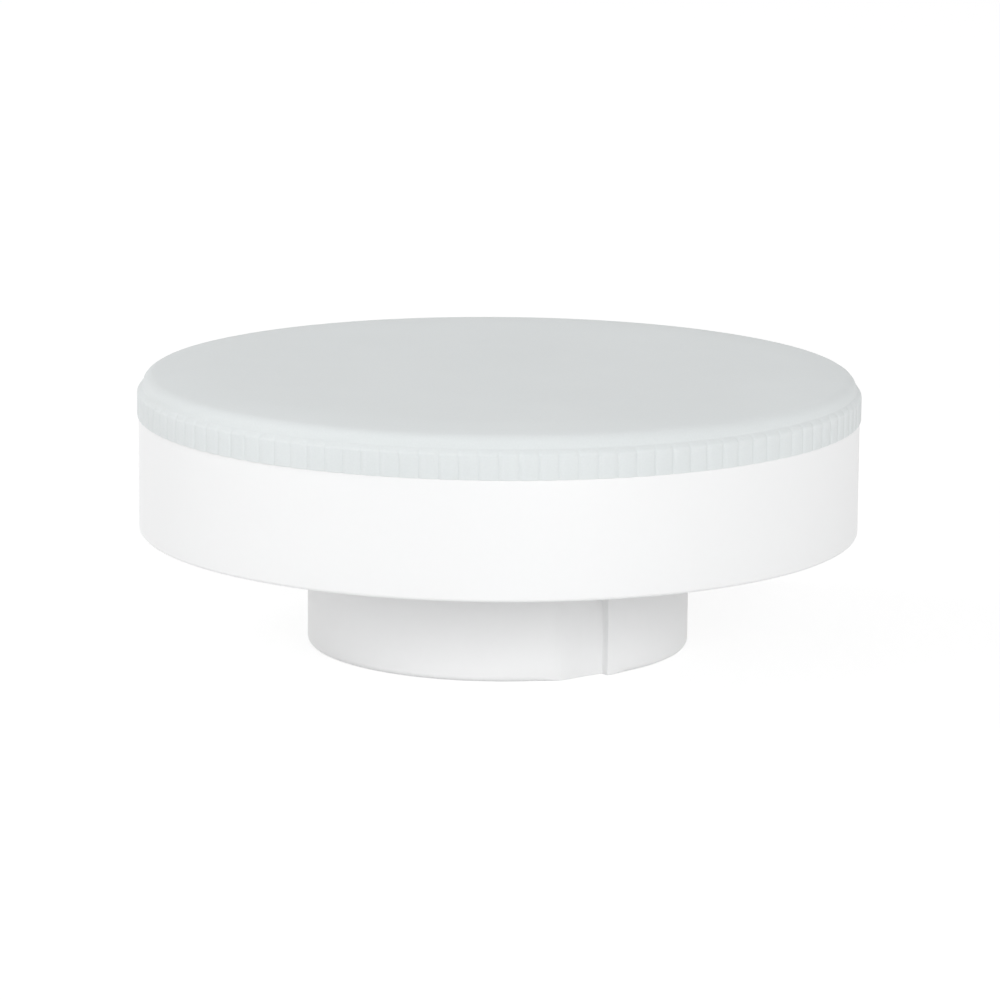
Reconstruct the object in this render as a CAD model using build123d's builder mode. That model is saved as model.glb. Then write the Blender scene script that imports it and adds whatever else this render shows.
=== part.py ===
from build123d import *
from math import cos, pi, radians, sin
import os

# Flat disc lamp with a ribbed milky cover, a white moulded body and a central stub.
# Millimetres. It stands on the stub: z = 0 is the stub's end face, the cover is on top,
# and the front, with the visible key recess, faces -Y.

os.makedirs("parts", exist_ok=True)

# Body moulding
body_dia = 74.7
body_height = 11.95
body_edge_fillet = 0.8
skirt_wall = 1.6
floor_thickness = 1.8
stub_dia = 39.7
stub_height = 12.2
stub_wall = 1.6
stub_floor = 1.6
stub_edge_fillet = 0.64

# Key recesses on the stub, angles counted from the front (-Y) towards +X
key_count = 2
key_depth = 1.0
key_ramp_depth = 0.75
key_start_angle = 19.3
key_ramp_angle = 24.5
key_end_angle = 34.4
key_toe_reach = 9.0
key_mouth = 1.0

# Cover
cover_height = 4.65
cover_thickness = 1.2
cover_bevel_width = 0.9
cover_bevel_drop = 0.45
cover_edge_fillet = 0.3
cover_taper = 0.4
shoulder_drop = 0.95
rib_root_drop = 0.6
rim_overhang = 0.15
rib_depth = 0.16
rib_count = 120
rib_gap = 0.2
rib_corner = 0.4
rib_bevel_height = 0.6
rib_top_inset = 0.38
rib_lip = 0.1
cover_skirt_wall = 1.2
snap_count = 6
snap_arc = 26.0
snap_depth = 0.35
snap_height = 0.9
snap_drop = 3.0

# Contact pins
pin_spacing = 53.0
pin_reach = 4.3
pin_head_dia = 5.0
pin_head_height = 1.8
pin_neck_dia = 3.0
pin_flange_dia = 4.2
pin_flange_thickness = 0.5
pin_rivet_dia = 4.4
pin_rivet_thickness = 0.6
pin_bore_dia = 1.6
pin_bore_floor = 1.2
boss_dia = 7.4
boss_height = 0.9

# Heat spreader and light board
spreader_height = 5.6
spreader_sheet = 1.0
spreader_bend = 0.8
collar_dia = 4.4
collar_depth = 1.2
light_board_thickness = 1.0
light_board_inset = 0.5
wire_hole_dia = 6.4
screw_count = 3
screw_shank_dia = 2.4
screw_hole_dia = 2.8
screw_head_dia = 4.4
screw_head_height = 1.3
screw_length = 5.0
screw_slot = 0.5
outer_led_count = 16
outer_led_inset = 7.0
inner_led_count = 8
inner_led_share = 0.48
led_length = 3.5
led_width = 2.8
led_height = 0.8
led_rim = 0.35
phosphor_depth = 0.3

# Driver board and what stands on it
driver_board_thickness = 1.2
driver_board_lift = 1.8
post_width = 2.0
post_count = 4
post_start_angle = 72.0
post_seat = 1.0
edge_gap = 1.5
bulk_can_dia = 8.0
bulk_can_height = 11.5
output_can_dia = 5.0
output_can_height = 9.0
choke_dia = 9.0
choke_height = 7.5
choke_flange = 1.0
choke_waist_dia = 4.4
choke_winding_dia = 8.0
resistor_dia = 2.6
resistor_length = 6.5
resistor_span = 9.5
resistor_rise = 2.2
resistor_lead_dia = 0.6
resistor_angle = 50.0
bulk_can_angle = -45.0
output_can_angle = -135.0
choke_angle = 140.0

# Moulded packages: length, width over the body and height, legs on each side and their pitch
driver_chip_size = (4.9, 3.9, 1.5)
driver_chip_legs = 4
driver_chip_pitch = 1.27
driver_chip_place = (-9.3, 1.3)
bridge_size = (4.7, 3.9, 2.4)
bridge_legs = 2
bridge_pitch = 2.5
bridge_set_back = 10.5
diode_size = (2.6, 4.2, 2.2)
diode_legs = 1
diode_pitch = 6.0
diode_set_back = 12.2

# Chip resistors and ceramic capacitors
chip_length = 2.0
chip_width = 1.25
chip_height = 0.55
cap_length = 0.4
cap_proud = 0.06
chip_places = [(3.0, -5.0), (-0.6, -5.4), (7.6, -1.4), (-2.2, 4.6), (-4.4, 1.6)]

# Wires
pin_lead_dia = 1.2
pin_lead_bend = 1.5
pin_lead_drop_bend = 3.0
output_lead_dia = 1.1
output_lead_gap = 2.6
output_lead_reach = 4.6
output_lead_bend = 1.2

# Clearances between fitted pieces
fit_gap = 0.15
pin_gap = 0.05
touch_gap = 0.03
part_gap = 0.5

# Heights and radii that follow from the sizes above
body_r = body_dia / 2
stub_r = stub_dia / 2
seat_z = stub_height
floor_top_z = seat_z + floor_thickness
skirt_top_z = seat_z + body_height
top_z = skirt_top_z + cover_height
skirt_inner_r = body_r - skirt_wall
stub_inner_r = stub_r - stub_wall
rim_r = body_r + rim_overhang
rib_root_r = rim_r - rib_depth
pin_x = pin_spacing / 2
boss_top_z = floor_top_z + boss_height
spreader_r = skirt_inner_r - fit_gap
spreader_top_z = floor_top_z + spreader_height
light_board_z = spreader_top_z
light_board_top_z = light_board_z + light_board_thickness
cover_skirt_r = skirt_inner_r - fit_gap
cover_skirt_inner_r = cover_skirt_r - cover_skirt_wall
cover_skirt_z = spreader_top_z + fit_gap
light_board_r = cover_skirt_inner_r - light_board_inset
outer_led_ring_r = light_board_r - outer_led_inset
inner_led_ring_r = outer_led_ring_r * inner_led_share
screw_ring_r = (outer_led_ring_r + inner_led_ring_r) / 2
driver_board_z = stub_floor + driver_board_lift
driver_top_z = driver_board_z + driver_board_thickness
key_floor_r = stub_r - key_depth
driver_board_r = key_floor_r - stub_wall - 2 * fit_gap
snap_z = skirt_top_z - snap_drop


def around(radius, angle):
    """Plan point at this radius, its angle counted from the front (-Y) towards +X."""
    return (radius * sin(radians(angle)), -radius * cos(radians(angle)))


def upright(place, angle):
    """Vertical plane at a plan point of the driver board, its x along the given direction."""
    along = Vector(cos(radians(angle)), sin(radians(angle)), 0)
    return Plane(origin=(*place, driver_top_z), x_dir=along, z_dir=along.cross(Vector(0, 0, 1)))


def write(part, name):
    part.label = name
    export_step(part, f"parts/{name}.step")


# Plan of one key recess: a ramp on one side, a floor that deepens a little and a square end wall
key_corners = [
    around(stub_r + key_mouth, key_start_angle),
    around(stub_r, key_start_angle),
    around(stub_r - key_ramp_depth, key_ramp_angle),
    around(key_floor_r, key_end_angle),
    around(stub_r + key_mouth, key_end_angle),
]
# The stub's rounded lower edge runs out to a square one on both sides of the recess
toe_corners = [
    around(stub_r - stub_edge_fillet, key_start_angle - key_toe_reach),
    around(stub_r, key_start_angle),
    around(stub_r, key_end_angle),
    around(stub_r - stub_edge_fillet, key_end_angle + key_toe_reach),
    around(stub_inner_r, (key_start_angle + key_end_angle) / 2),
]

with BuildPart() as housing:
    with BuildSketch(Plane.XZ):
        with BuildLine():
            Polyline(
                (0, 0), (stub_r, 0), (stub_r, seat_z), (body_r, seat_z), (body_r, skirt_top_z),
                (skirt_inner_r, skirt_top_z), (skirt_inner_r, floor_top_z),
                (stub_inner_r, floor_top_z), (stub_inner_r, stub_floor), (0, stub_floor),
                close=True,
            )
        make_face()
    revolve(axis=Axis.Z)
    fillet(housing.edges().group_by(Axis.Z)[0], stub_edge_fillet)
    seat_edges = housing.edges().filter_by_position(Axis.Z, seat_z - touch_gap, seat_z + touch_gap)
    fillet(seat_edges.sort_by(SortBy.RADIUS)[-1], body_edge_fillet)

    # Groove inside the skirt for the cover's snap beads
    with BuildSketch(Plane.XZ):
        with BuildLine():
            Polyline(
                (skirt_inner_r - fit_gap, snap_z - snap_height / 2 - fit_gap),
                (skirt_inner_r, snap_z - snap_height / 2 - fit_gap),
                (skirt_inner_r + snap_depth, snap_z - fit_gap),
                (skirt_inner_r + snap_depth, snap_z + fit_gap),
                (skirt_inner_r, snap_z + snap_height / 2 + fit_gap),
                (skirt_inner_r - fit_gap, snap_z + snap_height / 2 + fit_gap),
                close=True,
            )
        make_face()
    revolve(axis=Axis.Z, mode=Mode.SUBTRACT)

    # Key recesses, with the wall carried round behind each of them
    with BuildSketch():
        with PolarLocations(0, key_count):
            Polygon(*toe_corners, align=None)
    extrude(amount=stub_edge_fillet)
    with BuildSketch(Plane.XY.offset(stub_floor)):
        with PolarLocations(0, key_count):
            Polygon(*key_corners, align=None)
        offset(amount=stub_wall, kind=Kind.INTERSECTION)
        Circle(stub_inner_r + fit_gap, mode=Mode.INTERSECT)
    extrude(amount=floor_top_z - stub_floor)
    with BuildSketch():
        with PolarLocations(0, key_count):
            Polygon(*key_corners, align=None)
    extrude(amount=seat_z, mode=Mode.SUBTRACT)

    # Four posts in the stub carry the driver board on a step
    with BuildSketch(Plane.XY.offset(stub_floor)):
        post_inner_r = driver_board_r - post_seat
        with PolarLocations((post_inner_r + stub_inner_r + fit_gap) / 2, post_count, post_start_angle):
            Rectangle(stub_inner_r + fit_gap - post_inner_r, post_width)
    extrude(amount=driver_board_lift)
    with BuildSketch(Plane.XY.offset(driver_board_z)):
        post_outer_r = driver_board_r + fit_gap
        with PolarLocations((post_outer_r + stub_inner_r + fit_gap) / 2, post_count, post_start_angle):
            Rectangle(stub_inner_r + fit_gap - post_outer_r, post_width)
    extrude(amount=driver_board_thickness)

    # Bosses and bores for the two contact pins
    with BuildSketch(Plane.XY.offset(floor_top_z)):
        with Locations((pin_x, 0), (-pin_x, 0)):
            Circle(boss_dia / 2)
    extrude(amount=boss_height)
    with BuildSketch(Plane.XY.offset(seat_z)):
        with Locations((pin_x, 0), (-pin_x, 0)):
            Circle(pin_neck_dia / 2 + pin_gap)
    extrude(amount=floor_thickness + boss_height, mode=Mode.SUBTRACT)
write(housing.part, "housing")

# Cover: one rib pad with rounded upper corners, one snap bead, then the whole shell
rib_top_z = top_z - cover_bevel_drop - shoulder_drop
rib_top_r = rim_r - rib_top_inset
shoulder_r = rib_top_r - cover_taper
rib_width = 2 * pi * rim_r / rib_count - rib_gap

with BuildPart() as rib_pad:
    with BuildSketch(Plane.XZ):
        with BuildLine():
            Polyline(
                (rib_top_r - rib_depth, skirt_top_z), (rim_r, skirt_top_z),
                (rim_r, rib_top_z - rib_bevel_height), (rib_top_r, rib_top_z),
                (rib_top_r - rib_depth, rib_top_z),
                close=True,
            )
        make_face()
    revolve(axis=Axis.Z)
    with BuildSketch(Plane.XZ):
        with Locations((0, (skirt_top_z + rib_top_z) / 2)):
            rib_face = Rectangle(rib_width, rib_top_z - skirt_top_z)
        fillet(rib_face.vertices().group_by(Axis.Z)[-1], rib_corner)
    extrude(amount=rim_r + rib_depth, mode=Mode.INTERSECT)

with BuildPart() as snap_bead:
    with BuildSketch(Plane.XZ):
        with BuildLine():
            Polyline(
                (cover_skirt_r - snap_depth, snap_z - snap_height / 2),
                (cover_skirt_r, snap_z - snap_height / 2),
                (cover_skirt_r + snap_depth, snap_z),
                (cover_skirt_r, snap_z + snap_height / 2),
                (cover_skirt_r - snap_depth, snap_z + snap_height / 2),
                close=True,
            )
        make_face()
    revolve(axis=Axis.Z, revolution_arc=snap_arc)

with BuildPart() as diffuser:
    with BuildSketch(Plane.XZ):
        with BuildLine():
            inner_r = cover_skirt_r - 2 * fit_gap
            inner_top_z = top_z - cover_thickness
            step_z = skirt_top_z + cover_skirt_wall
            Polyline(
                (0, top_z), (shoulder_r - cover_bevel_width, top_z),
                (shoulder_r, top_z - cover_bevel_drop), (rib_top_r - rib_lip, rib_top_z),
                (rib_root_r, rib_top_z - rib_root_drop), (rib_root_r, skirt_top_z),
                (cover_skirt_r, skirt_top_z), (cover_skirt_r, cover_skirt_z),
                (cover_skirt_inner_r, cover_skirt_z), (cover_skirt_inner_r, skirt_top_z),
                (inner_r, step_z), (inner_r, inner_top_z - cover_bevel_drop),
                (inner_r - cover_bevel_width, inner_top_z), (0, inner_top_z),
                close=True,
            )
        make_face()
    revolve(axis=Axis.Z)
    shoulder_z = top_z - cover_bevel_drop
    fillet(
        diffuser.edges().filter_by_position(Axis.Z, shoulder_z - touch_gap, shoulder_z + touch_gap),
        cover_edge_fillet,
    )
    with PolarLocations(0, snap_count):
        add(snap_bead.part)
    with PolarLocations(0, rib_count, start_angle=180 / rib_count):
        add(rib_pad.part)
write(diffuser.part, "diffuser")

# Heat spreader: a shallow pressed cup, upside down on the body's floor
with BuildPart() as heat_spreader:
    with BuildSketch(Plane.XZ):
        with BuildLine():
            Polyline(
                (0, spreader_top_z - spreader_sheet),
                (spreader_r - spreader_sheet, spreader_top_z - spreader_sheet),
                (spreader_r - spreader_sheet, floor_top_z), (spreader_r, floor_top_z),
                (spreader_r, spreader_top_z), (0, spreader_top_z),
                close=True,
            )
        make_face()
    revolve(axis=Axis.Z)
    fillet(heat_spreader.edges().group_by(Axis.Z)[-1], spreader_bend)
    with BuildSketch(Plane.XY.offset(spreader_top_z - spreader_sheet)):
        with PolarLocations(screw_ring_r, screw_count, 90):
            Circle(collar_dia / 2)
    extrude(amount=-collar_depth)
    with BuildSketch(Plane.XY.offset(spreader_top_z)):
        with PolarLocations(screw_ring_r, screw_count, 90):
            Circle(screw_shank_dia / 2 + pin_gap)
        Circle(wire_hole_dia / 2)
    extrude(amount=-(spreader_sheet + collar_depth), mode=Mode.SUBTRACT)
write(heat_spreader.part, "heat_spreader")

with BuildPart() as led_board:
    with BuildSketch(Plane.XY.offset(light_board_z)):
        Circle(light_board_r)
        Circle(wire_hole_dia / 2, mode=Mode.SUBTRACT)
        with PolarLocations(screw_ring_r, screw_count, 90):
            Circle(screw_hole_dia / 2, mode=Mode.SUBTRACT)
    extrude(amount=light_board_thickness)
write(led_board.part, "led_board")

# Light-emitting packages in two rings: a white frame each, and its yellow filling
outer_leds = PolarLocations(outer_led_ring_r, outer_led_count)
inner_leds = PolarLocations(inner_led_ring_r, inner_led_count, 180 / inner_led_count)
led_places = [*outer_leds, *inner_leds]
led_top_z = light_board_top_z + led_height

with BuildPart() as led_packages:
    with BuildSketch(Plane.XY.offset(light_board_top_z)):
        with Locations(*led_places):
            Rectangle(led_length, led_width)
    extrude(amount=led_height)
    with BuildSketch(Plane.XY.offset(led_top_z)):
        with Locations(*led_places):
            Rectangle(led_length - 2 * led_rim, led_width - 2 * led_rim)
    extrude(amount=-phosphor_depth, mode=Mode.SUBTRACT)
write(led_packages.part, "led_packages")

with BuildPart() as led_phosphor:
    with BuildSketch(Plane.XY.offset(led_top_z - phosphor_depth)):
        with Locations(*led_places):
            Rectangle(led_length - 2 * led_rim, led_width - 2 * led_rim)
    extrude(amount=phosphor_depth)
write(led_phosphor.part, "led_phosphor")

with BuildPart() as board_screws:
    with BuildSketch(Plane.XY.offset(light_board_top_z)):
        with PolarLocations(screw_ring_r, screw_count, 90):
            Circle(screw_head_dia / 2)
    extrude(amount=screw_head_height)
    fillet(board_screws.edges().group_by(Axis.Z)[-1], screw_head_height / 2)
    with BuildSketch(Plane.XY.offset(light_board_top_z)):
        with PolarLocations(screw_ring_r, screw_count, 90):
            Circle(screw_shank_dia / 2)
    extrude(amount=-screw_length)
    chamfer(board_screws.edges().group_by(Axis.Z)[0], screw_shank_dia / 6)
    with BuildSketch(Plane.XY.offset(light_board_top_z + screw_head_height)):
        with PolarLocations(screw_ring_r, screw_count, 90):
            Rectangle(screw_head_dia * 0.6, screw_slot)
            Rectangle(screw_slot, screw_head_dia * 0.6)
    extrude(amount=-screw_head_height * 0.6, mode=Mode.SUBTRACT)
write(board_screws.part, "board_screws")

with BuildPart() as driver_board:
    with BuildSketch(Plane.XY.offset(driver_board_z)):
        Circle(driver_board_r)
    extrude(amount=driver_board_thickness)
write(driver_board.part, "driver_board")


def can_capacitor(dia, height, place):
    """Upright can with a crimp near its foot and a cross scored in its top."""
    rim = dia / 16
    with BuildPart() as can:
        with BuildSketch(Plane(origin=(*place, driver_top_z), x_dir=(1, 0, 0), z_dir=(0, -1, 0))):
            with BuildLine():
                Polyline(
                    (0, 0), (dia / 2 - rim, 0), (dia / 2, rim), (dia / 2, 2 * rim),
                    (dia / 2 - rim, 3 * rim), (dia / 2, 4 * rim), (dia / 2, height - rim),
                    (dia / 2 - rim, height), (0, height),
                    close=True,
                )
            make_face()
        revolve(axis=Axis(origin=(*place, 0), direction=(0, 0, 1)))
        with BuildSketch(Plane(origin=(*place, driver_top_z + height))):
            Rectangle(dia / 2, rim / 2)
            Rectangle(rim / 2, dia / 2)
        extrude(amount=-rim / 2, mode=Mode.SUBTRACT)
    return can.part


bulk_place = around(driver_board_r - edge_gap - bulk_can_dia / 2, bulk_can_angle)
output_place = around(driver_board_r - edge_gap - output_can_dia / 2, output_can_angle)
choke_place = around(driver_board_r - edge_gap - choke_dia / 2, choke_angle)
write(can_capacitor(bulk_can_dia, bulk_can_height, bulk_place), "bulk_capacitor")
write(can_capacitor(output_can_dia, output_can_height, output_place), "output_capacitor")

# Choke: a ferrite bobbin and the copper wound on its waist
choke_plane = Plane(origin=(*choke_place, driver_top_z), x_dir=(1, 0, 0), z_dir=(0, -1, 0))
choke_axis = Axis(origin=(*choke_place, 0), direction=(0, 0, 1))
with BuildPart() as choke_core:
    with BuildSketch(choke_plane):
        with BuildLine():
            Polyline(
                (0, 0), (choke_dia / 2, 0), (choke_dia / 2, choke_flange),
                (choke_waist_dia / 2, choke_flange),
                (choke_waist_dia / 2, choke_height - choke_flange),
                (choke_dia / 2, choke_height - choke_flange), (choke_dia / 2, choke_height),
                (0, choke_height),
                close=True,
            )
        make_face()
    revolve(axis=choke_axis)
write(choke_core.part, "choke_core")

with BuildPart() as choke_winding:
    with BuildSketch(choke_plane):
        with BuildLine():
            Polyline(
                (choke_waist_dia / 2 + pin_gap, choke_flange + pin_gap),
                (choke_winding_dia / 2 - pin_gap, choke_flange + pin_gap),
                (choke_winding_dia / 2, choke_height / 2),
                (choke_winding_dia / 2 - pin_gap, choke_height - choke_flange - pin_gap),
                (choke_waist_dia / 2 + pin_gap, choke_height - choke_flange - pin_gap),
                close=True,
            )
        make_face()
    revolve(axis=choke_axis)
write(choke_winding.part, "choke_winding")

# Fusible resistor: a dumb-bell body on a wire bent down into the board at both ends
resistor_place = around(driver_board_r - edge_gap - resistor_dia, resistor_angle)
resistor_plane = upright(resistor_place, resistor_angle)
with BuildPart() as fusible_resistor:
    with BuildLine(resistor_plane) as resistor_wire:
        FilletPolyline(
            (-resistor_span / 2, 0), (-resistor_span / 2, resistor_rise),
            (resistor_span / 2, resistor_rise), (resistor_span / 2, 0),
            radius=2 * resistor_lead_dia,
        )
    with BuildSketch(Plane(origin=resistor_wire.line @ 0, z_dir=resistor_wire.line % 0)):
        Circle(resistor_lead_dia / 2)
    sweep(path=resistor_wire.wires()[0])
    with BuildSketch(resistor_plane):
        with BuildLine():
            half = resistor_length / 2
            bulge = half - resistor_dia / 2
            Polyline(
                (-half, resistor_rise), (-half, resistor_rise + resistor_dia * 0.4),
                (-half + resistor_dia * 0.15, resistor_rise + resistor_dia / 2),
                (-bulge, resistor_rise + resistor_dia / 2),
                (-bulge + resistor_dia * 0.15, resistor_rise + resistor_dia * 0.4),
                (bulge - resistor_dia * 0.15, resistor_rise + resistor_dia * 0.4),
                (bulge, resistor_rise + resistor_dia / 2),
                (half - resistor_dia * 0.15, resistor_rise + resistor_dia / 2),
                (half, resistor_rise + resistor_dia * 0.4), (half, resistor_rise),
                close=True,
            )
        make_face()
    body_axis_point = resistor_plane.from_local_coords(Vector(0, resistor_rise, 0))
    revolve(axis=Axis(origin=body_axis_point, direction=resistor_plane.x_dir))
write(fusible_resistor.part, "fusible_resistor")


def leg_reach(size):
    """How far a package's legs reach to each side of its middle."""
    width, height = size[1:]
    return width / 2 + height / 1.25


def winged_package(plane, size, legs_a_side, leg_pitch):
    """Flat moulded package with bent legs on both long sides, drawn across its width."""
    length, width, height = size
    sheet = height / 8
    foot = height / 2.5
    stand = height / 12
    side = width / 2
    with BuildPart() as package:
        with BuildSketch(plane):
            with BuildLine():
                Polyline(
                    (side - sheet, stand), (side, height / 2), (side - sheet, height),
                    (sheet - side, height), (-side, height / 2), (sheet - side, stand),
                    close=True,
                )
            make_face()
        extrude(amount=length / 2, both=True)
        for number in range(legs_a_side):
            along = (number - (legs_a_side - 1) / 2) * leg_pitch
            with BuildSketch(plane.offset(along)):
                for way in (1, -1):
                    with BuildLine():
                        Polyline(
                            (way * (side - sheet), height / 2 + sheet),
                            (way * (side + foot), height / 2 + sheet),
                            (way * (side + foot), sheet), (way * (side + 2 * foot), sheet),
                            (way * (side + 2 * foot), 0), (way * (side + foot - sheet), 0),
                            (way * (side + foot - sheet), height / 2),
                            (way * (side - sheet), height / 2),
                            close=True,
                        )
                    make_face()
            extrude(amount=leg_pitch / 6, both=True)
    return package.part


bridge_x = bulk_place[0] + bulk_can_dia / 2 + part_gap + leg_reach(bridge_size)
diode_x = choke_place[0] - choke_dia / 2 - part_gap - leg_reach(diode_size)
bridge_place = (bridge_x, -bridge_set_back)
diode_place = (diode_x, diode_set_back)
chip_plane = upright(driver_chip_place, 0)
bridge_plane = upright(bridge_place, 0)
diode_plane = upright(diode_place, 0)
write(winged_package(chip_plane, driver_chip_size, driver_chip_legs, driver_chip_pitch), "driver_chip")
write(winged_package(bridge_plane, bridge_size, bridge_legs, bridge_pitch), "bridge_rectifier")
write(winged_package(diode_plane, diode_size, diode_legs, diode_pitch), "freewheel_diode")

# Chip resistors and ceramic capacitors, each a flat block with raised end caps
choke_chip_r = driver_board_r - edge_gap - choke_dia - part_gap - chip_length / 2
all_chip_places = [*chip_places, around(choke_chip_r, choke_angle)]
with BuildPart() as chip_components:
    with BuildSketch(Plane.XY.offset(driver_top_z)):
        with Locations(*all_chip_places):
            Rectangle(chip_length, chip_width)
    extrude(amount=chip_height)
    with BuildSketch(Plane.XY.offset(driver_top_z)):
        with Locations(*all_chip_places):
            with Locations((chip_length / 2, 0), (-chip_length / 2, 0)):
                Rectangle(cap_length, chip_width + 2 * cap_proud)
    extrude(amount=chip_height + cap_proud)
write(chip_components.part, "chip_components")

# Contact pins, riveted through the floor's bosses, and their insulated leads
pin_end_z = seat_z - pin_reach
rivet_top_z = boss_top_z + pin_rivet_thickness
lead_run_z = rivet_top_z + pin_lead_dia / 2 + pin_lead_bend
lead_landing = driver_board_r - edge_gap

for side, way in (("left", -1), ("right", 1)):
    with BuildPart() as contact_pin:
        with BuildSketch(Plane(origin=(way * pin_x, 0, 0), x_dir=(1, 0, 0), z_dir=(0, -1, 0))):
            head_r = pin_head_dia / 2
            neck_r = pin_neck_dia / 2
            edge = pin_head_height / 5
            with BuildLine():
                Polyline(
                    (0, pin_end_z), (head_r - edge, pin_end_z), (head_r, pin_end_z + edge),
                    (head_r, pin_end_z + pin_head_height - edge / 2),
                    (head_r - edge / 2, pin_end_z + pin_head_height),
                    (neck_r, pin_end_z + pin_head_height),
                    (neck_r, seat_z - pin_flange_thickness),
                    (pin_flange_dia / 2, seat_z - pin_flange_thickness),
                    (pin_flange_dia / 2, seat_z), (neck_r, seat_z), (neck_r, boss_top_z),
                    (pin_rivet_dia / 2, boss_top_z), (pin_rivet_dia / 2, rivet_top_z),
                    (pin_bore_dia / 2, rivet_top_z), (pin_bore_dia / 2, pin_end_z + pin_bore_floor),
                    (0, pin_end_z + pin_bore_floor),
                    close=True,
                )
            make_face()
        revolve(axis=Axis(origin=(way * pin_x, 0, 0), direction=(0, 0, 1)))
    write(contact_pin.part, f"contact_pin_{side}")

    with BuildPart() as pin_lead:
        with BuildLine() as lead_route:
            FilletPolyline(
                (way * pin_x, 0, pin_end_z + pin_bore_floor + fit_gap),
                (way * pin_x, 0, lead_run_z), (way * lead_landing, 0, lead_run_z),
                (way * lead_landing, 0, driver_top_z),
                radius=[pin_lead_bend, pin_lead_drop_bend],
            )
        with BuildSketch(Plane(origin=lead_route.line @ 0, z_dir=lead_route.line % 0)):
            Circle(pin_lead_dia / 2)
        sweep(path=lead_route.wires()[0])
    write(pin_lead.part, f"pin_lead_{side}")

# Leads from the driver board up through the spreader and over onto the light board
landing_z = light_board_top_z + output_lead_dia / 2 + touch_gap
for sign, way in (("negative", -1), ("positive", 1)):
    with BuildPart() as output_lead:
        with BuildLine() as lead_route:
            FilletPolyline(
                (way * output_lead_gap / 2, 0, driver_top_z),
                (way * output_lead_gap / 2, 0, landing_z),
                (way * (output_lead_gap / 2 + output_lead_reach), 0, landing_z),
                radius=output_lead_bend,
            )
        with BuildSketch(Plane(origin=lead_route.line @ 0, z_dir=lead_route.line % 0)):
            Circle(output_lead_dia / 2)
        sweep(path=lead_route.wires()[0])
    write(output_lead.part, f"output_lead_{sign}")
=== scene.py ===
import math
import bpy
import numpy as np
from mathutils import Matrix, Vector


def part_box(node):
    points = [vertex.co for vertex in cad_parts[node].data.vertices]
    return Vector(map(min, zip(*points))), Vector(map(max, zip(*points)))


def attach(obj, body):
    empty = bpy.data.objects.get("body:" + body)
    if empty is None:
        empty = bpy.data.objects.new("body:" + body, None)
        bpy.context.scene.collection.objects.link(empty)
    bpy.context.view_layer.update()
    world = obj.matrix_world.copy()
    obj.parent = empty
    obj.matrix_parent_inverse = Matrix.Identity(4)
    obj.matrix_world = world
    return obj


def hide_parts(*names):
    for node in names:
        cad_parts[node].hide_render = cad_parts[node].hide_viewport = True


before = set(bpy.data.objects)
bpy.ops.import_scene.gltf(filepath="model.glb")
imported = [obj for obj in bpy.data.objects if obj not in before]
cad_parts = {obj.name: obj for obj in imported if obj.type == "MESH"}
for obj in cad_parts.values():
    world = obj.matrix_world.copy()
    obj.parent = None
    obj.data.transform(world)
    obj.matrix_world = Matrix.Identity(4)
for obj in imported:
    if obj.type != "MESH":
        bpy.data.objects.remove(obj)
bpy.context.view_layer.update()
scene = bpy.context.scene
mm = 0.001


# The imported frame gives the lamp's own heights and widths, in millimetres
def boxOf(node):
    low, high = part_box(node)
    return np.array(low) / mm, np.array(high) / mm


coverLow, coverHigh = boxOf("diffuser")
boardLow, boardHigh = boxOf("driver_board")
pinLow, pinHigh = boxOf("contact_pin_right")
bodyR, bodyTopZ = boxOf("housing")[1][[0, 2]]
floorTopZ = boxOf("heat_spreader")[0][2]
topZ = coverHigh[2]
pinX = (pinLow[0] + pinHigh[0]) / 2
bodyWall = 1.6  # the body's skirt, which the cover's own skirt fits inside
print("frame loaded, lamp is", round(topZ, 2), "mm high and", round(2 * coverHigh[0], 2), "mm wide")


# Every moulding is a profile of radius and height, carried round the lamp's axis.
# A corner of a profile becomes an arc: its ends lie radius / tan(half the angle between the two sides) from the corner
def roundedProfile(points, radii, steps=6):
    line = []
    for before, corner, after, radius in zip(points, points[1:], points[2:], radii):
        a, b, c = (np.array(p, float) for p in (before, corner, after))
        toA = (a - b) / np.linalg.norm(a - b)
        toC = (c - b) / np.linalg.norm(c - b)
        half = math.acos(np.clip(toA @ toC, -1, 1)) / 2
        if radius <= 0 or half > math.pi / 2 - 1e-4:
            line.append(b[None])
            continue
        middle = b + (toA + toC) / np.linalg.norm(toA + toC) * radius / math.sin(half)
        start = b + toA * radius / math.tan(half) - middle
        end = b + toC * radius / math.tan(half) - middle
        share = np.linspace(0, 1, steps + 1)[:, None]
        sweep = math.acos(np.clip(start @ end / radius ** 2, -1, 1))
        line.append(middle + (np.sin((1 - share) * sweep) * start + np.sin(share * sweep) * end) / math.sin(sweep))
    return np.vstack([np.array(points[0], float)[None], *line, np.array(points[-1], float)[None]])


# Points go in between the profile's own wherever two of them are further apart than the given step
def filledProfile(profile, step):
    gaps = np.linalg.norm(np.diff(profile, axis=0), axis=1)
    along = np.concatenate([[0], np.cumsum(gaps)])
    extra = [np.linspace(a, b, int(math.ceil((b - a) / step)), endpoint=False) for a, b in zip(along, along[1:])]
    marks = np.concatenate([*extra, along[-1:]])
    return np.column_stack([np.interp(marks, along, profile[:, k]) for k in range(2)])


# Point = (radius sin(angle), -radius cos(angle), height), rows along the profile and columns round the axis;
# the angle is counted from the front, and a row of no radius closes to a single point
def roundGrid(radius, angle, height, centre=(0.0, 0.0)):
    x = radius * np.sin(angle) + centre[0]
    y = -radius * np.cos(angle) + centre[1]
    return np.stack(np.broadcast_arrays(x, y, height), axis=-1)


# Angles of a full turn in steps of so many degrees, as one row
def fullTurn(degrees):
    return np.radians(np.arange(0, 360, degrees))[None]


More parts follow.
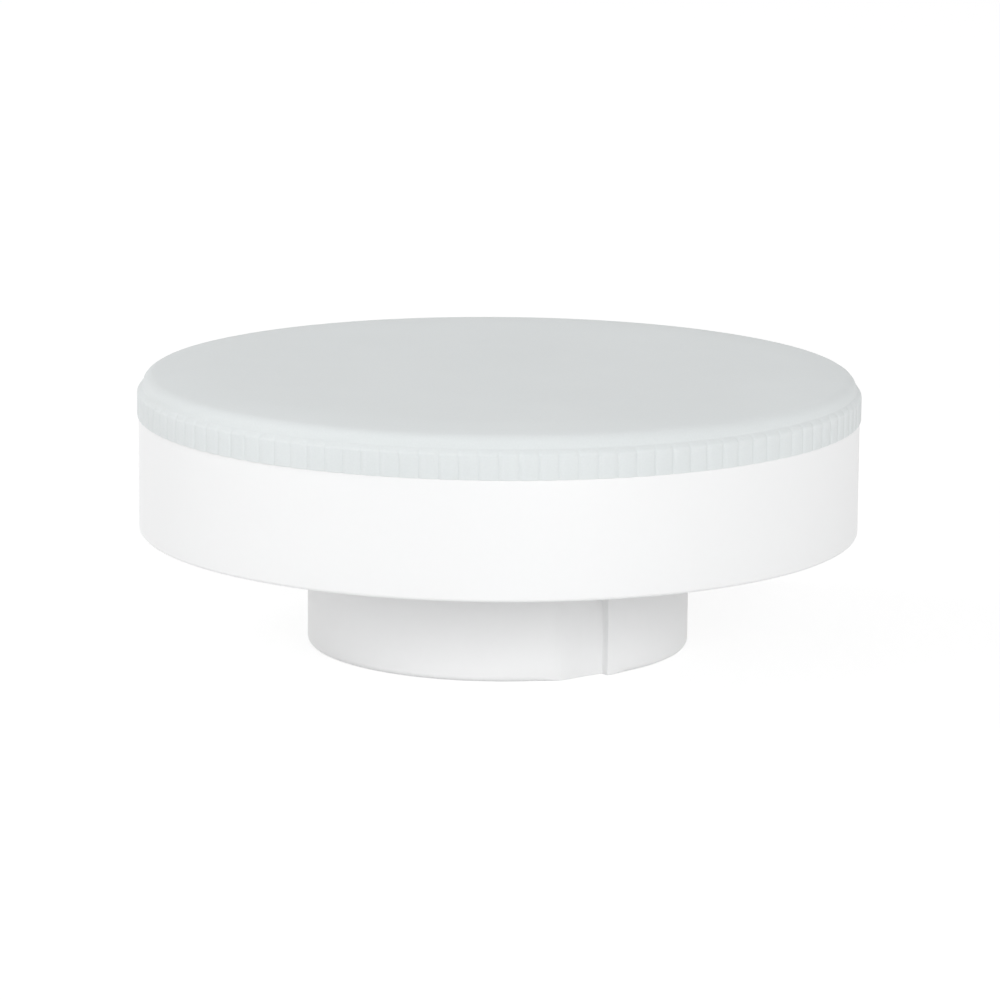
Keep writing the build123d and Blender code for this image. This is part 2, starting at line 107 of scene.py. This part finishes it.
# Quads join each row to the next and the last column to the first; a ring's last row joins its first one, and any
# other surface closes at both ends, where triangles run to the one point of its first row and of its last;
# base is the number of the surface's first point
def gridFaces(rows, columns, ring, base):
    first = 0 if ring else 1
    row = np.arange(first, rows if ring else rows - 2)[:, None]
    column = np.arange(columns)[None]
    nextRow, nextColumn = (row + 1) % rows, (column + 1) % columns

    def number(r, c):
        return base + first + (r - first) * columns + c

    quads = np.stack([number(row, column), number(nextRow, column), number(nextRow, nextColumn),
                      number(row, nextColumn)], axis=-1).reshape(-1, 4).tolist()
    if ring:
        return quads
    around, turned = column[0], nextColumn[0]
    start, last = number(1, 0), number(rows - 2, 0)
    opening = np.stack([np.full(columns, base), start + around, start + turned], axis=-1).tolist()
    closing = np.stack([last + around, np.full(columns, last + columns), last + turned], axis=-1).tolist()
    return quads + opening + closing


# One object from its shells, each a grid of points and whether it is a ring; edges that turn by more than
# the given degrees stay sharp
def makePiece(name, shells, smoothUnder=32):
    points, faces = [], []
    for grid, ring in shells:
        rows, columns = grid.shape[:2]
        flat = grid.reshape(-1, 3)
        if not ring:
            flat = flat[columns - 1:len(flat) - columns + 1]  # one point is left of the first row and of the last
        faces += gridFaces(rows, columns, ring, sum(map(len, points)))
        points.append(flat)
    mesh = bpy.data.meshes.new(name)
    mesh.from_pydata((np.vstack(points) * mm).tolist(), [], faces)
    mesh.polygons.foreach_set("use_smooth", np.ones(len(mesh.polygons), bool))
    mesh.set_sharp_from_angle(angle=math.radians(smoothUnder))
    mesh.update()
    piece = bpy.data.objects.new(name, mesh)
    scene.collection.objects.link(piece)
    print(name, "has", len(mesh.polygons), "faces")
    return piece


# Eases from 0 to 1 as 3 v^2 - 2 v^3
def smoothStep(value):
    value = np.clip(value, 0, 1)
    return value * value * (3 - 2 * value)


cover = {
    "wall": 1.2, "skirtWall": 1.2, "skirtGap": 0.15, "lowEdge": 0.05,
    "crownR": 31, "crownDrop": 0.43, "crownBlend": 24,  # the top falls a little from this radius to its edge
    "edgeRound": 1.35, "taper": 0.4, "shoulderDrop": 1.2, "rootDrop": 0.6,
    "shoulderRound": 0.4, "skirtRound": 0.2, "innerRound": 0.6,
    "ribs": 120, "ribDepth": 0.12, "ribGap": 0.12, "ribCorner": 0.55,
    "ribBevel": 0.6, "ribTopInset": 0.38, "ribStep": 0.11,  # each rib's own top
    "ribSoftness": 0.3, "ribCrown": 0.65, "ribCrownWidth": 0.55,  # its flanks and its rounded face
    "ribFadeInset": 0.4, "ribFade": 0.25,  # no relief further in than this from the ribs' root
    "rowsAbove": 0.15, "rowsBelow": 0.9, "ribRow": 0.075,  # close rows round the ribs' tops
    "wallRow": 0.6, "flatRow": 12, "underInset": 0.3, "arcSteps": 4,  # and wider ones on walls and flats
    "ribColumns": (0, 0.022, 0.04, 0.058, 0.08, 0.15, 0.27),  # shares of a rib up to its middle, most on its flank
}


# Share of a rib's relief: its outline is a rounded rectangle, and the relief steps up softly across that outline
# and goes on rising with the square of the distance inside it, up to the width of the crown
def ribRelief(angle, height, rimR, ribTopZ):
    pitch = 2 * math.pi / cover["ribs"]
    corner = cover["ribCorner"]
    across = np.abs((angle / pitch) % 1 - 0.5) * pitch * rimR - (pitch * rimR - cover["ribGap"]) / 2 + corner
    upward = height - ribTopZ + corner + 0 * angle
    inside = np.minimum(np.maximum(across, upward), 0)
    outside = np.hypot(np.maximum(across, 0), np.maximum(upward, 0)) + inside - corner
    step = smoothStep(0.5 - outside / cover["ribSoftness"])
    return step * (1 - cover["ribCrown"] * np.clip(1 + outside / cover["ribCrownWidth"], 0, 1) ** 2)


# Profile: a top that falls a little towards its rounded edge, a steep shoulder, the ribs' root, then the lower edge,
# the skirt and the inner face. Radius = the profile's radius + lift x the relief's share; the lift is what the profile
# lacks to the rib's own radius, which is the rim's up to the bevel at its top, and is never more than the ribs' depth
def coverSurface():
    rimR = coverHigh[0]
    rootR = rimR - cover["ribDepth"]
    edgeZ = topZ - cover["crownDrop"]
    ribTopZ = edgeZ - cover["shoulderDrop"]
    ribTopR = rimR - cover["ribTopInset"]
    baseTopR = ribTopR - cover["ribStep"]
    shoulderR = ribTopR - cover["taper"]
    skirtR = bodyR - bodyWall - cover["skirtGap"]
    skirtInnerR = skirtR - cover["skirtWall"]
    innerR = skirtR - 2 * cover["skirtGap"]
    innerTopZ = topZ - cover["wall"]
    corners = [
        (0, topZ), (cover["crownR"], topZ), (shoulderR, edgeZ), (baseTopR, ribTopZ),
        (rootR, ribTopZ - cover["rootDrop"]), (rootR, bodyTopZ),
        (skirtR, bodyTopZ), (skirtR, coverLow[2]), (skirtInnerR, coverLow[2]), (skirtInnerR, bodyTopZ),
        (innerR, bodyTopZ + cover["skirtWall"]), (innerR, innerTopZ), (0, innerTopZ),
    ]
    shoulder, skirt = [cover["shoulderRound"]] * 2, [cover["skirtRound"]] * 2
    top = [cover["crownBlend"], cover["edgeRound"]]
    radii = [*top, *shoulder, cover["lowEdge"], 0, *skirt, 0, 0, cover["innerRound"]]
    profile = roundedProfile(corners, radii, cover["arcSteps"])
    firstRib = np.flatnonzero(profile[:, 1] < ribTopZ + cover["rowsAbove"])[0]
    lowRib = np.flatnonzero(profile[:, 1] < ribTopZ - cover["rowsBelow"])[0]
    under = np.flatnonzero(profile[:, 0] < rootR - cover["underInset"])
    under = under[under > lowRib][0]
    profile = np.vstack([
        filledProfile(profile[:firstRib], cover["flatRow"]), filledProfile(profile[firstRib:lowRib], cover["ribRow"]),
        filledProfile(profile[lowRib:under], cover["wallRow"]), filledProfile(profile[under:], cover["flatRow"]),
    ])
    pitch = 2 * math.pi / cover["ribs"]
    shares = np.array(cover["ribColumns"])
    shares = np.concatenate([shares, [0.5], 1 - shares[:0:-1]])
    angle = ((np.arange(cover["ribs"])[:, None] + shares[None]) * pitch).ravel()[None]
    radius, height = profile[:, :1], profile[:, 1:]
    ribR = np.interp(height, [bodyTopZ, ribTopZ - cover["ribBevel"], ribTopZ], [rimR, rimR, ribTopR])
    outer = smoothStep((radius - (rootR - cover["ribFadeInset"])) / cover["ribFade"])
    lift = np.clip(ribR - np.maximum(radius, baseTopR), 0, cover["ribDepth"]) * outer
    return roundGrid(radius + lift * ribRelief(angle, height, rimR, ribTopZ), angle, height)


coverPiece = makePiece("cover", [(coverSurface(), False)], smoothUnder=40)
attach(coverPiece, "root")
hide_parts("diffuser")
print("cover made")


body = {
    "seatZ": 12.05, "edgeRound": 0.4, "mouthRound": 0.05, "insideRound": 0.3, "rootRound": 0.3,
    "stubR": 19.85, "stubWall": 1.6, "stubFloor": 1.6, "stubRound": 0.6,
    "floorInset": 1.0, "seatInset": 1.5,  # where the round rows of the floor and of the seat start, outside the stub
    "skirtRow": 5, "stubRows": 10, "arcSteps": 5, "endRings": (0.85, 0.5, 0.2),  # the end face's rings, as shares
    # the key recesses: depths, degrees round the stub from the front, roundings of the ramp's ends and the end wall
    "keyCount": 2, "rampDepth": 0.75, "keyDepth": 1.0, "keyStart": 19.6, "keyRamp": 27.0, "keyEnd": 34.4,
    "rampRounds": (4.2, 3.8), "keyEdge": 0.08, "keyLowRound": 0.1, "keyFade": 9.0,
    "keyMargin": 0.7, "keyStep": 0.5, "stubStep": 1.5,  # columns beside, along and away from them
    # the posts: the first one's place in degrees, how far its foot reaches under the board, then how much is left
    # beside the board and how deep the post stands in the stub's wall and in what is below it
    "postCount": 4, "postWidth": 2.0, "postStart": 72.0, "postSeat": 1.0,
    "postGap": 0.15, "postRoot": 0.15, "postOverlap": 0.05,
    "bossR": 3.7, "bossHeight": 0.9, "boreR": 1.55, "bossRounds": (0.1, 0.2), "bossRoot": 0.1, "bossStep": 7.5,
}


# Plan of the stub over one recess and the plain part before it: a circle, then the recess as a soft ramp, a slowly
# deepening floor and an end wall; returns angle and radius, and an even spread of the same points for the round rows
def stubOutline():
    def around(radius, degrees):
        return (radius * math.sin(math.radians(degrees)), -radius * math.cos(math.radians(degrees)))

    outer, floor, foot = body["stubR"], body["stubR"] - body["keyDepth"], body["stubR"] - body["rampDepth"]
    start, ramp, end = body["keyStart"], body["keyRamp"], body["keyEnd"]
    margin, step = body["keyMargin"], body["stubStep"]
    radii = [*body["rampRounds"], body["keyEdge"], body["keyEdge"]]
    key = roundedProfile([around(outer, start - margin), around(outer, start), around(foot, ramp), around(floor, end),
                          around(outer, end), around(outer, end + margin)], radii, body["arcSteps"])
    key = filledProfile(key, body["keyStep"])
    keyAngle = np.degrees(np.arctan2(key[:, 0], -key[:, 1]))
    lead = np.arange(start - margin - step, end + margin - 360 / body["keyCount"] + step / 2, -step)[::-1]
    angle = np.concatenate([lead, keyAngle])
    radius = np.concatenate([np.full(len(lead), outer), np.hypot(key[:, 0], key[:, 1])])
    spread = np.concatenate([lead, np.linspace(keyAngle[0], keyAngle[-1], len(key))])
    return angle, radius, spread


# The same angles again for every recess, each time a step further round
def repeatedRound(angles, step):
    return np.concatenate([angles + number * step for number in range(body["keyCount"])])


# Rows: the stub's inner floor and wall, the body's floor, skirt and seat, then the stub's root, wall, lower edge and
# end face; the stub's rows follow its plan, and the others are circles
def bodySurface():
    angle, radius, spread = stubOutline()
    pitch = 360 / body["keyCount"]
    angle, spread = np.radians(repeatedRound(angle, pitch)), np.radians(repeatedRound(spread, pitch))
    stub = np.tile(radius, body["keyCount"])[None]
    # the rounded lower edge of the stub runs out towards a recess
    middle, reach = (body["keyStart"] + body["keyEnd"]) / 2, (body["keyEnd"] - body["keyStart"]) / 2
    away = np.abs((np.degrees(angle) % pitch - middle + pitch / 2) % pitch - pitch / 2) - reach
    plainRound, keyRound = body["stubRound"], body["keyLowRound"]
    lowRound = (keyRound + (plainRound - keyRound) * smoothStep(away / body["keyFade"]))[None]
    wallR, seat, inset = bodyR - bodyWall, body["seatZ"], body["insideRound"]
    boreR = body["stubR"] - body["stubWall"]
    inner = np.minimum(boreR, stub - body["stubWall"])
    upperProfile = roundedProfile([
        (boreR + body["floorInset"], floorTopZ), (wallR, floorTopZ), (wallR, bodyTopZ), (bodyR, bodyTopZ),
        (bodyR, seat), (body["stubR"] + body["seatInset"], seat),
    ], [inset, body["mouthRound"], body["mouthRound"], body["edgeRound"]], steps=8)
    upperProfile = filledProfile(upperProfile, body["skirtRow"])
    turn = np.linspace(0, math.pi / 2, body["arcSteps"] + 1)[:, None]
    root = body["rootRound"]
    wallShare = np.linspace(1, 0, body["stubRows"])[1:-1, None]
    rows = [
        roundGrid(np.zeros_like(stub), angle, body["stubFloor"]),
        roundGrid(inner - inset, angle, body["stubFloor"]),
        roundGrid(inner, angle, body["stubFloor"] + inset),
        roundGrid(inner, angle, floorTopZ - inset),
        roundGrid(inner + inset, angle, floorTopZ),
        roundGrid(upperProfile[:, :1], spread[None], upperProfile[:, 1:]),
        roundGrid(stub + root * (1 - np.sin(turn)), angle, seat - root * (1 - np.cos(turn))),
        roundGrid(stub, angle, lowRound + (seat - root - lowRound) * wallShare),
        roundGrid(stub - lowRound * (1 - np.cos(turn)), angle, lowRound * (1 - np.sin(turn))),
        *[roundGrid((stub - lowRound) * share, angle, 0.0) for share in (*body["endRings"], 0)],
    ]
    return np.vstack(rows)


# A post is two boxes, a foot under the board and an ear beside its edge: the four corners of its plan at two heights,
# with the middle of each end as the point that closes it
def boardPosts():
    boardR, wall = boardHigh[0], body["stubR"] - body["stubWall"] + body["postRoot"]
    overlap = body["postOverlap"]
    boxes = ((boardR - body["postSeat"], body["stubFloor"] - overlap, boardLow[2]),
             (boardR + body["postGap"], boardLow[2] - overlap, boardHigh[2]))
    size, upper = np.array([0, 1, 1, 0])[:, None], np.array([True, True, False, False])[:, None]
    shells = []
    for number in range(body["postCount"]):
        turn = math.radians(body["postStart"] + 360 / body["postCount"] * number)
        for inner, low, high in boxes:
            plan = np.array([(inner, -1), (wall, -1), (wall, 1), (inner, 1)]) * (1, body["postWidth"] / 2)
            x = plan[:, 0] * math.cos(turn) - plan[:, 1] * math.sin(turn)
            y = plan[:, 0] * math.sin(turn) + plan[:, 1] * math.cos(turn)
            grid = np.broadcast_arrays(x.mean() + (x - x.mean()) * size, y.mean() + (y - y.mean()) * size,
                                       np.where(upper, high, low))
            shells.append((np.stack(grid, axis=-1), False))
    return shells


# A boss is a ring round its pin: its bore, top and outer wall carried round the pin's axis
def pinBosses():
    low, high = floorTopZ - body["bossRoot"], floorTopZ + body["bossHeight"]
    corners = [(body["boreR"], low), (body["boreR"], high), (body["bossR"], high), (body["bossR"], low)]
    profile = roundedProfile(corners, body["bossRounds"], steps=4)
    angle = fullTurn(body["bossStep"])
    return [(roundGrid(profile[:, :1], angle, profile[:, 1:], (way * pinX, 0)), True) for way in (-1, 1)]


bodyPiece = makePiece("body", [(bodySurface(), False), *boardPosts(), *pinBosses()])
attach(bodyPiece, "root")
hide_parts("housing")
print("body made")


pin = {
    "headR": 2.5, "headHeight": 1.8, "neckR": 1.5, "flangeR": 2.1, "flangeThickness": 0.5, "rivetR": 2.2,
    "boreR": 0.8, "boreFloor": 1.2, "dimple": 0.12, "dimpleR": 0.7,
    # roundings of the profile's corners in order, from the bore's floor to the dimple
    "rounds": (0.1, 0.25, 0.25, 0.05, 0, 0, 0.08, 0.12, 0.1, 0.15, 0.2, 0.45, 0.3, 0.2),
    "row": 1.5, "turnStep": 3.75,
}


# Turned pin: its profile runs from the bore's floor up the bore, over the rivet, down the neck and the flange and
# round the head to the dimple, and is carried round the pin's own axis
def pinSurface(way):
    low, boss = pinLow[2], floorTopZ + body["bossHeight"]
    top, seat, under = pinHigh[2], body["seatZ"], pinLow[2] + pin["headHeight"]
    corners = [
        (0, low + pin["boreFloor"]), (pin["boreR"], low + pin["boreFloor"]), (pin["boreR"], top),
        (pin["rivetR"], top), (pin["rivetR"], boss), (pin["neckR"], boss), (pin["neckR"], seat),
        (pin["flangeR"], seat), (pin["flangeR"], seat - pin["flangeThickness"]),
        (pin["neckR"], seat - pin["flangeThickness"]), (pin["neckR"], under), (pin["headR"], under),
        (pin["headR"], low), (pin["dimpleR"], low), (pin["dimpleR"] / 2, low + pin["dimple"]),
        (0, low + pin["dimple"]),
    ]
    profile = filledProfile(roundedProfile(corners, pin["rounds"], steps=5), pin["row"])
    return roundGrid(profile[:, :1], fullTurn(pin["turnStep"]), profile[:, 1:], (way * pinX, 0))


pinPieces = []
for side, way in (("left", -1), ("right", 1)):
    pinPiece = makePiece("pin_" + side, [(pinSurface(way), False)], smoothUnder=40)
    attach(pinPiece, "root")
    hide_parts("contact_pin_" + side)
    pinPieces.append(pinPiece)
print("pins made")


# Fine grain of a moulded or cast surface: two noises, of which the finer one alone gives the height
# and half the sum of both gives the tone
def makeGrainGroup():
    group = bpy.data.node_groups.new("surfaceGrain", "ShaderNodeTree")
    for label, kind in (("Broad Scale", "NodeSocketFloat"), ("Fine Scale", "NodeSocketFloat"),
                        ("Stretch", "NodeSocketVector")):
        group.interface.new_socket(label, in_out="INPUT", socket_type=kind)
    group.interface.new_socket("Tone", in_out="OUTPUT", socket_type="NodeSocketFloat")
    group.interface.new_socket("Height", in_out="OUTPUT", socket_type="NodeSocketFloat")
    nodes, links = group.nodes, group.links
    given, out = nodes.new("NodeGroupInput"), nodes.new("NodeGroupOutput")
    place = nodes.new("ShaderNodeTexCoord")
    stretch = nodes.new("ShaderNodeVectorMath")
    stretch.operation = "MULTIPLY"
    links.new(place.outputs["Object"], stretch.inputs[0])
    links.new(given.outputs["Stretch"], stretch.inputs[1])
    broad, fine = nodes.new("ShaderNodeTexNoise"), nodes.new("ShaderNodeTexNoise")
    broad.inputs["Detail"].default_value = 2
    fine.inputs["Detail"].default_value = 3
    for noise, label in ((broad, "Broad Scale"), (fine, "Fine Scale")):
        links.new(given.outputs[label], noise.inputs["Scale"])
        links.new(stretch.outputs[0], noise.inputs["Vector"])
    half, both = nodes.new("ShaderNodeMath"), nodes.new("ShaderNodeMath")
    half.operation, both.operation = "MULTIPLY", "MULTIPLY_ADD"
    half.inputs[1].default_value = both.inputs[1].default_value = 0.5
    links.new(fine.outputs["Fac"], half.inputs[0])
    links.new(broad.outputs["Fac"], both.inputs[0])
    links.new(half.outputs[0], both.inputs[2])
    links.new(both.outputs[0], out.inputs["Tone"])
    links.new(fine.outputs["Fac"], out.inputs["Height"])
    return group


grainGroup = makeGrainGroup()

# Colour is linear; tone is how far the grain moves it each way; fine and broad are the grain's scales, and a small
# stretch draws it out along that axis; grain is the bump's depth in millimetres; milk and milkDepth are the share of
# light that goes on inside the cover and how deep, in millimetres
finishes = {
    "cover_milky": {
        "colour": (0.762, 0.792, 0.795), "rough": 0.66, "specular": 0.2, "milk": 0.6, "milkDepth": 0.3,
        "tone": 0.03, "fine": 5200, "broad": 60, "grain": 0.006},
    "body_white": {
        "colour": (0.912, 0.915, 0.917), "rough": 0.42,
        "tone": 0.006, "fine": 1500, "broad": 50, "grain": 0.003},
    "contact_metal": {
        "colour": (0.66, 0.63, 0.56), "rough": 0.24, "metal": 1,
        "tone": 0.05, "fine": 900, "broad": 200, "grain": 0.002, "stretch": (1, 1, 8)},
    "spreader_aluminium": {
        "colour": (0.72, 0.73, 0.74), "rough": 0.38, "metal": 1,
        "tone": 0.05, "fine": 900, "broad": 80, "grain": 0.004, "stretch": (0.08, 1, 1)},
    "light_board_white": {
        "colour": (0.82, 0.83, 0.82), "rough": 0.45,
        "tone": 0.015, "fine": 1200, "broad": 90, "grain": 0.004},
    "package_white": {
        "colour": (0.84, 0.83, 0.8), "rough": 0.4,
        "tone": 0.01, "fine": 2000, "broad": 300, "grain": 0.002},
    "phosphor_yellow": {
        "colour": (0.82, 0.56, 0.09), "rough": 0.3, "coat": 0.4,
        "tone": 0.06, "fine": 5000, "broad": 600, "grain": 0.004},
    "screw_steel": {
        "colour": (0.56, 0.56, 0.57), "rough": 0.3, "metal": 1,
        "tone": 0.04, "fine": 1500, "broad": 300, "grain": 0.002},
    "circuit_green": {
        "colour": (0.035, 0.16, 0.06), "rough": 0.35, "coat": 0.3,
        "tone": 0.12, "fine": 900, "broad": 160, "grain": 0.006},
    "package_black": {
        "colour": (0.025, 0.025, 0.027), "rough": 0.5,
        "tone": 0.15, "fine": 3000, "broad": 400, "grain": 0.006},
    "resistor_green": {
        "colour": (0.12, 0.26, 0.16), "rough": 0.35,
        "tone": 0.05, "fine": 1200, "broad": 250, "grain": 0.003},
    "can_dark": {
        "colour": (0.03, 0.035, 0.05), "rough": 0.3, "coat": 0.5,
        "tone": 0.08, "fine": 1000, "broad": 200, "grain": 0.002},
    "ferrite_grey": {
        "colour": (0.06, 0.06, 0.065), "rough": 0.7,
        "tone": 0.15, "fine": 2600, "broad": 300, "grain": 0.01},
    "winding_copper": {
        "colour": (0.62, 0.22, 0.09), "rough": 0.28, "metal": 1, "coat": 0.6,
        "tone": 0.1, "fine": 300, "broad": 200, "grain": 0.05, "stretch": (0.05, 0.05, 14)},
    "ceramic_chip": {
        "colour": (0.4, 0.3, 0.2), "rough": 0.45,
        "tone": 0.08, "fine": 2600, "broad": 500, "grain": 0.004},
    "lead_white": {
        "colour": (0.8, 0.8, 0.78), "rough": 0.45,
        "tone": 0.02, "fine": 1500, "broad": 200, "grain": 0.002},
    "lead_red": {
        "colour": (0.5, 0.02, 0.02), "rough": 0.42,
        "tone": 0.04, "fine": 1500, "broad": 200, "grain": 0.002},
    "lead_black": {
        "colour": (0.02, 0.02, 0.02), "rough": 0.42,
        "tone": 0.1, "fine": 1500, "broad": 200, "grain": 0.002},
}
coatRough = 0.15  # of every finish with a coat


# Base colour = the written colour, a little darker or lighter with the grain's tone; bump from its height
def makeFinish(name, finish):
    material = bpy.data.materials.new(name + "_finish")
    material.use_nodes = True
    nodes, links = material.node_tree.nodes, material.node_tree.links
    shader = nodes["Principled BSDF"]
    shader.inputs["Roughness"].default_value = finish["rough"]
    shader.inputs["Metallic"].default_value = finish.get("metal", 0)
    shader.inputs["Coat Weight"].default_value = finish.get("coat", 0)
    shader.inputs["Coat Roughness"].default_value = coatRough
    shader.inputs["Specular IOR Level"].default_value = finish.get("specular", 0.5)
    if "milk" in finish:
        shader.inputs["Subsurface Weight"].default_value = finish["milk"]
        shader.inputs["Subsurface Radius"].default_value = (1, 1, 1)
        shader.inputs["Subsurface Scale"].default_value = finish["milkDepth"] * mm
    grain = nodes.new("ShaderNodeGroup")
    grain.node_tree = grainGroup
    grain.inputs["Broad Scale"].default_value = finish["broad"]
    grain.inputs["Fine Scale"].default_value = finish["fine"]
    grain.inputs["Stretch"].default_value = finish.get("stretch", (1, 1, 1))
    mix = nodes.new("ShaderNodeMix")
    mix.data_type = "RGBA"  # its factor is input 0, its colours are inputs 6 and 7 and output 2
    colour, tone = np.array(finish["colour"]), finish["tone"]
    mix.inputs[6].default_value = (*np.clip(colour * (1 - 2 * tone), 0, 1), 1)
    mix.inputs[7].default_value = (*np.clip(colour * (1 + 2 * tone), 0, 1), 1)
    links.new(grain.outputs["Tone"], mix.inputs[0])
    links.new(mix.outputs[2], shader.inputs["Base Color"])
    bump = nodes.new("ShaderNodeBump")
    bump.inputs["Distance"].default_value = finish["grain"] * mm
    bump.inputs["Strength"].default_value = 1
    links.new(grain.outputs["Height"], bump.inputs["Height"])
    links.new(bump.outputs["Normal"], shader.inputs["Normal"])
    material.diffuse_color = (*colour, 1)
    return material


materials = {name: makeFinish(name, finish) for name, finish in finishes.items()}
coverPiece.data.materials.append(materials["cover_milky"])
bodyPiece.data.materials.append(materials["body_white"])
for pinPiece in pinPieces:
    pinPiece.data.materials.append(materials["contact_metal"])
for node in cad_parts.values():
    for slot in node.material_slots:
        slot.material = materials[slot.material.name.split(".")[0]]
print("finishes made")


# Each light stands so many metres from the lamp's middle, turned from the front towards the right and lifted,
# in degrees
studio = {
    "middle": (0, 0, 0.013),
    "floorSize": 4.0, "floorColour": 0.9,
    "seenFloor": 0.3, "seenGlow": 0.8, "seenWorld": 1.0,  # what the camera and reflections see
    "horizon": 0.85, "zenith": 0.42,  # the light from all round
    "key": {"watts": 4.4, "turn": 20, "lift": 20, "distance": 1.2, "size": 0.4},
    "leftFill": {"watts": 1.45, "turn": -55, "lift": 20, "distance": 1.2, "size": 0.4},
    "sideFill": {"watts": 2.45, "turn": -100, "lift": 40, "distance": 1.2, "size": 0.4},
}


# 1 for rays from the camera, reflections and clear materials, and 0 for all others
def directRays(nodes, links):
    rays = nodes.new("ShaderNodeLightPath")
    seen, through = nodes.new("ShaderNodeMath"), nodes.new("ShaderNodeMath")
    seen.operation = through.operation = "MAXIMUM"
    links.new(rays.outputs["Is Camera Ray"], seen.inputs[0])
    links.new(rays.outputs["Is Glossy Ray"], seen.inputs[1])
    links.new(seen.outputs[0], through.inputs[0])
    links.new(rays.outputs["Is Transmission Ray"], through.inputs[1])
    return through.outputs[0]


# The camera sees the floor as white, less the lamp's soft shadow; everything else sees plain pale paint
def makeFloor():
    half = studio["floorSize"] / 2
    mesh = bpy.data.meshes.new("floor")
    mesh.from_pydata([(-half, -half, 0), (half, -half, 0), (half, half, 0), (-half, half, 0)], [], [(0, 1, 2, 3)])
    floor = bpy.data.objects.new("floor", mesh)
    scene.collection.objects.link(floor)
    material = bpy.data.materials.new("floor_paint")
    material.use_nodes = True
    nodes, links = material.node_tree.nodes, material.node_tree.links
    nodes.clear()
    out = nodes.new("ShaderNodeOutputMaterial")
    paint, seenPaint = nodes.new("ShaderNodeBsdfDiffuse"), nodes.new("ShaderNodeBsdfDiffuse")
    paint.inputs["Color"].default_value = (*[studio["floorColour"]] * 3, 1)
    seenPaint.inputs["Color"].default_value = (*[studio["seenFloor"]] * 3, 1)
    glow = nodes.new("ShaderNodeEmission")
    glow.inputs["Strength"].default_value = studio["seenGlow"]
    both, choose = nodes.new("ShaderNodeAddShader"), nodes.new("ShaderNodeMixShader")
    links.new(seenPaint.outputs[0], both.inputs[0])
    links.new(glow.outputs[0], both.inputs[1])
    links.new(directRays(nodes, links), choose.inputs[0])
    links.new(paint.outputs[0], choose.inputs[1])
    links.new(both.outputs[0], choose.inputs[2])
    links.new(choose.outputs[0], out.inputs["Surface"])
    mesh.materials.append(material)


# Soft light from all round, weaker from above than from the horizon; the camera and reflections see white
def makeWorld():
    world = bpy.data.worlds.new("studio")
    scene.world = world
    world.use_nodes = True
    nodes, links = world.node_tree.nodes, world.node_tree.links
    way, split = nodes.new("ShaderNodeTexCoord"), nodes.new("ShaderNodeSeparateXYZ")
    links.new(way.outputs["Generated"], split.inputs[0])
    fall = nodes.new("ShaderNodeMapRange")
    fall.inputs["To Min"].default_value = studio["horizon"]
    fall.inputs["To Max"].default_value = studio["zenith"]
    links.new(split.outputs["Z"], fall.inputs["Value"])
    strength = nodes.new("ShaderNodeMix")
    strength.data_type = "FLOAT"  # its factor is input 0, its values are inputs 2 and 3 and output 0
    links.new(directRays(nodes, links), strength.inputs[0])
    links.new(fall.outputs["Result"], strength.inputs[2])
    strength.inputs[3].default_value = studio["seenWorld"]
    backdrop = nodes["Background"]
    backdrop.inputs["Color"].default_value = (1, 1, 1, 1)
    links.new(strength.outputs[0], backdrop.inputs["Strength"])


# Place = middle + distance (sin(turn) cos(lift), -cos(turn) cos(lift), sin(lift)), facing the middle
def makeLamp(name):
    given = studio[name]
    light = bpy.data.lights.new(name, "AREA")
    light.shape = "SQUARE"
    light.size = given["size"]
    light.energy = given["watts"]
    lamp = bpy.data.objects.new(name, light)
    scene.collection.objects.link(lamp)
    turn, lift = math.radians(given["turn"]), math.radians(given["lift"])
    away = Vector((math.sin(turn) * math.cos(lift), -math.cos(turn) * math.cos(lift), math.sin(lift)))
    place = Vector(studio["middle"]) + given["distance"] * away
    lamp.matrix_world = Matrix.Translation(place) @ away.to_track_quat("Z", "Y").to_matrix().to_4x4()


# Lengths in metres, angles in degrees, and the lens and the sensor in millimetres
view = {
    "distance": 0.5286, "elevation": 11.36, "roll": 0.442, "lens": 182.56, "sensor": 36, "near": 0.01,
    "aimRight": 0.151 * mm, "aimUp": 1.83 * mm,
}


# The camera stands at its distance and elevation in front of the lamp's middle, aims a little right of it and above,
# and leans by the roll
def makeCamera():
    data = bpy.data.cameras.new("camera")
    data.sensor_width = view["sensor"]
    data.lens = view["lens"]
    data.clip_start = view["near"]
    camera = bpy.data.objects.new("camera", data)
    scene.collection.objects.link(camera)
    lift, lean = math.radians(view["elevation"]), math.radians(view["roll"])
    middle = Vector(studio["middle"])
    place = middle + view["distance"] * Vector((0, -math.cos(lift), math.sin(lift)))
    levelUp = Vector((0, math.sin(lift), math.cos(lift)))
    aim = middle + Vector((view["aimRight"], 0, 0)) + view["aimUp"] * levelUp
    forward = (aim - place).normalized()
    right = forward.cross(Vector((0, 0, 1))).normalized()
    up = right.cross(forward)
    leaned = right * math.cos(lean) + up * math.sin(lean)
    raised = up * math.cos(lean) - right * math.sin(lean)
    turned = Matrix((leaned, raised, -forward)).transposed().to_4x4()
    camera.matrix_world = Matrix.Translation(place) @ turned
    scene.camera = camera


makeFloor()
makeWorld()
for name in ("key", "leftFill", "sideFill"):
    makeLamp(name)
makeCamera()
scene.view_settings.view_transform = "Standard"
print("studio made")
